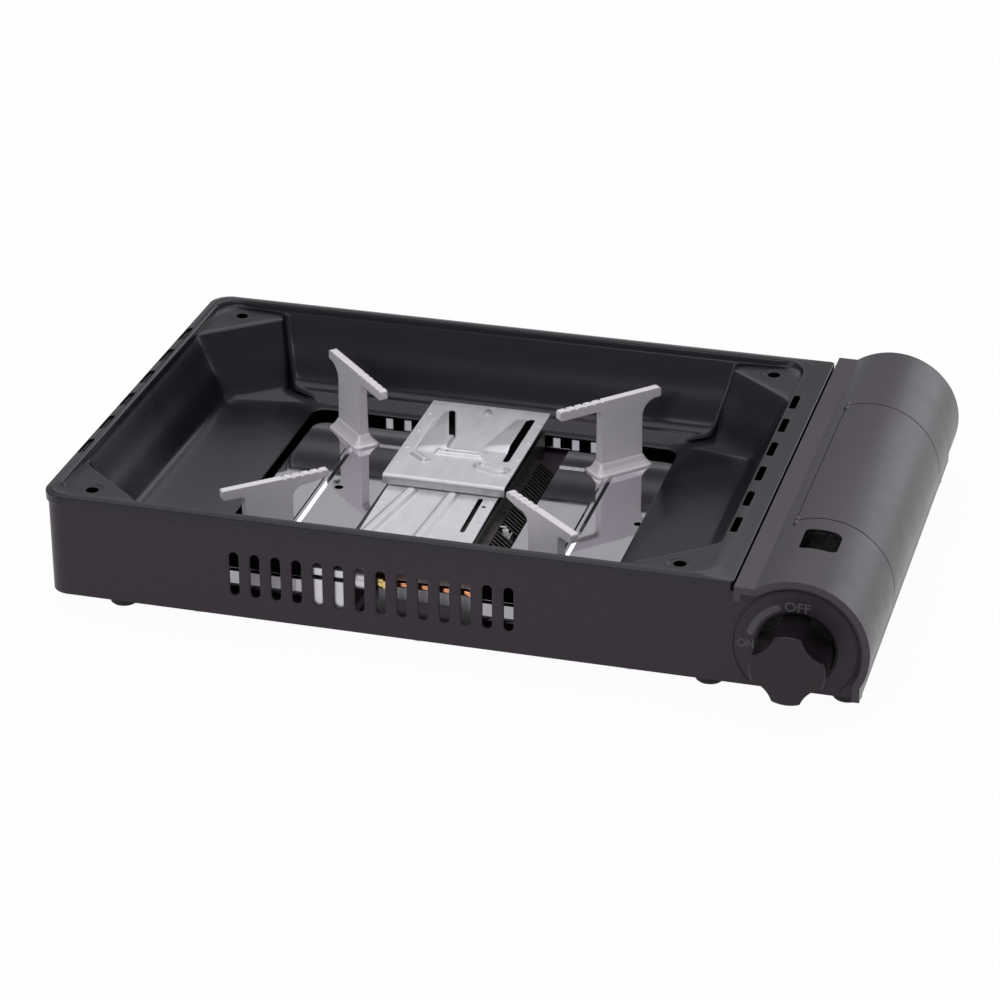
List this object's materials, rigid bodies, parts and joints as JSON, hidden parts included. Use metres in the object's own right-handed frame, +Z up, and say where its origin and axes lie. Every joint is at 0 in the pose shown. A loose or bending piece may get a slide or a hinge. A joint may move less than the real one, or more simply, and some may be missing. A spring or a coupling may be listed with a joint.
{
  "type": "cassette gas hot plate",
  "caption": "Tabletop gas hot plate: dark pressed tray with bar burner, mirror plates and cast trivets, and a canister bay with hinged door and turning knob at its right side.",
  "frame": {"origin": "middle of the footprint of the whole object, on the table plane", "axes": "+X to the canister bay side, +Y to the back, away from the knob, +Z up"},
  "size_m": [0.549, 0.3788, 0.086],
  "materials": {
    "body_paint": "satin charcoal powder coat",
    "tray_paint": "satin charcoal non-stick coat",
    "cover_paint": "satin charcoal powder coat",
    "galvanised": "bright zinc plated sheet",
    "zinc_screws": "bright zinc",
    "bright_steel": "bright rolled stainless steel",
    "mirror_steel": "mirror rolled stainless steel",
    "burner_steel": "dark heat tinted steel",
    "cast_aluminium": "sand grained cast aluminium",
    "cast_zinc": "die cast, satin",
    "brass": "turned brass",
    "copper": "bright drawn copper",
    "magnet": "nickel plated",
    "porcelain": "glazed porcelain",
    "lead_sheath": "silicone sheath",
    "rubber": "matt black",
    "knob_plastic": "satin moulded plastic",
    "dial_plastic": "semi gloss moulded plastic",
    "black_plastic": "moulded plastic"
  },
  "bodies": {
    "stove": {"housing": "body_paint", "bottom_plate": "body_paint", "tray": "tray_paint", "canister_cover": "cover_paint", "heat_wall": "galvanised", "rubber_feet": "rubber", "base_screws": "zinc_screws", "door_hinge_pins": "galvanised", "dial_dish": "dial_plastic", "piezo_igniter": "black_plastic", "igniter_lead": "lead_sheath", "igniter_electrode": "porcelain", "electrode_clip": "galvanised", "regulator_body": "cast_zinc", "regulator_cap": "cast_zinc", "cap_screws": "zinc_screws", "regulator_bracket": "galvanised", "canister_port": "brass", "port_seal": "rubber", "canister_magnets": "magnet", "canister_cradle": "galvanised", "gas_pipe": "copper", "pipe_nuts": "brass", "gas_jet": "brass", "mixing_tube": "bright_steel", "jet_bracket": "bright_steel", "burner_body": "burner_steel", "burner_cover_front": "bright_steel", "burner_cover_rear": "bright_steel", "burner_screw": "zinc_screws", "reflector_left": "mirror_steel", "reflector_right": "mirror_steel", "trivet_back_left": "cast_aluminium", "trivet_back_right": "cast_aluminium", "trivet_front_left": "cast_aluminium", "trivet_front_right": "cast_aluminium", "trivet_screws": "zinc_screws"},
    "door": {"canister_door": "cover_paint"},
    "knob_set": {"knob": "knob_plastic", "valve_spindle": "galvanised", "igniter_cam": "black_plastic", "spindle_clip": "galvanised"},
    "plunger": {"piezo_plunger": "galvanised"}
  },
  "joints": [
    {"name": "door_hinge", "type": "hinge", "parent": "stove", "child": "door", "pos_m": [0.20948, 0.00945, 0.08161], "axis": [0, -1, 0], "range_deg": [0, 105]},
    {"name": "knob_turn", "type": "hinge", "parent": "stove", "child": "knob_set", "pos_m": [0.22698, -0.17055, 0.0352], "axis": [0, -1, 0], "range_deg": [0, 90]},
    {"name": "plunger_slide", "type": "slide", "parent": "stove", "child": "plunger", "axis": [-1, 0, 0], "range_m": [0, 0.0041]}
  ],
  "couplings": [
    {"joint": "plunger_slide", "follows": "knob_turn", "m_per_rad": 0.0025465}
  ]
}
